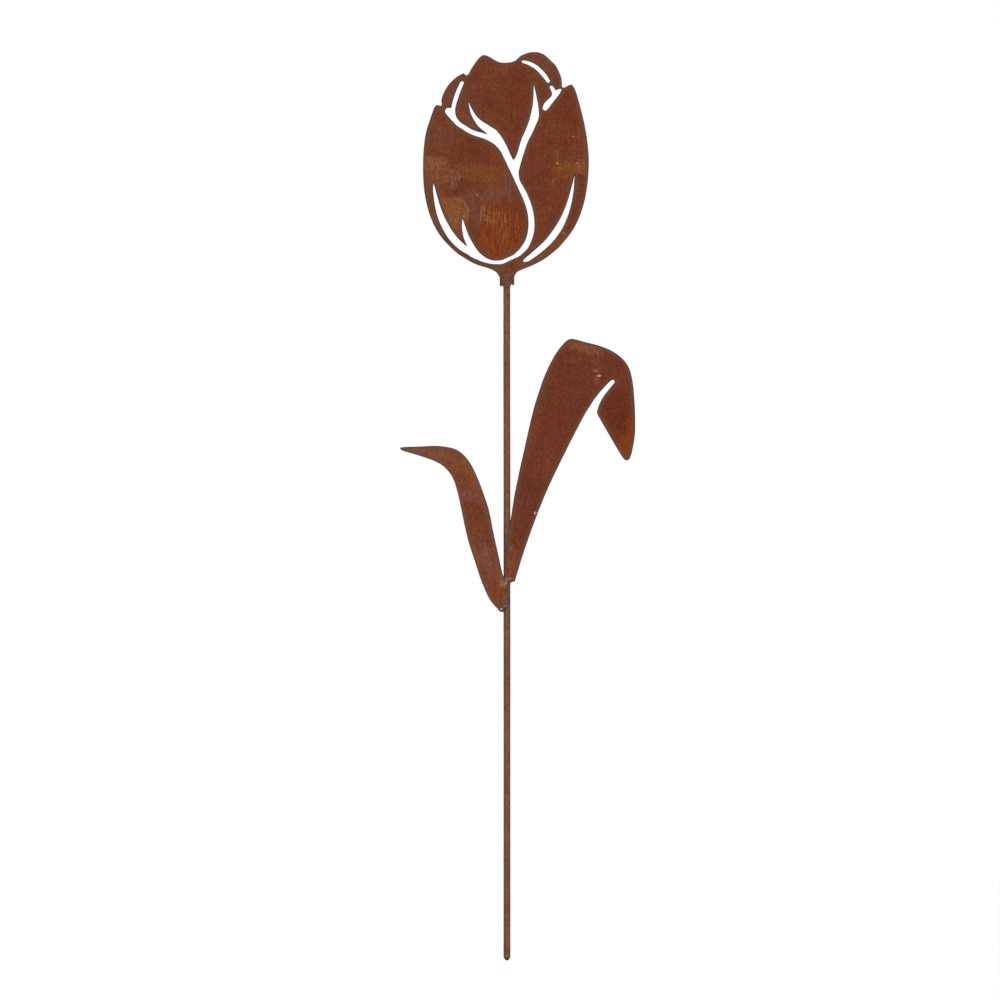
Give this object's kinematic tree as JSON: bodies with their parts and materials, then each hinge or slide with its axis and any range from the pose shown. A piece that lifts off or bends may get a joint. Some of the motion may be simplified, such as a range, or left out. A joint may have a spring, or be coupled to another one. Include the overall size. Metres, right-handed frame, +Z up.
{
  "type": "tulip garden stake",
  "caption": "Flat tulip flower and leaves of rusty sheet steel, the petals drawn by narrow cut-outs, welded to the front of a round steel bar that is pushed into the soil.",
  "frame": {"origin": "centre of the flat lower end of the bar's point", "axes": "+Z up along the bar, -Y the side that the flower and the leaves are welded to, +X towards the broad leaf"},
  "size_m": [0.2053, 0.01, 0.7935],
  "materials": {
    "sheet": "rusted all over, matte",
    "bar": "rusted all over, matte",
    "weld": "rusted, with tan and grey scale"
  },
  "bodies": {
    "root": {"stem_rod": "bar", "tulip_head": "sheet", "broad_leaf": "sheet", "slender_leaf": "sheet", "neck_weld_front": "weld", "neck_weld_left": "weld", "neck_weld_right": "weld", "broad_leaf_back_weld": "weld", "leaf_joint_weld": "weld", "slender_leaf_seam_weld": "weld", "slender_leaf_foot_weld": "weld"}
  },
  "joints": []
}
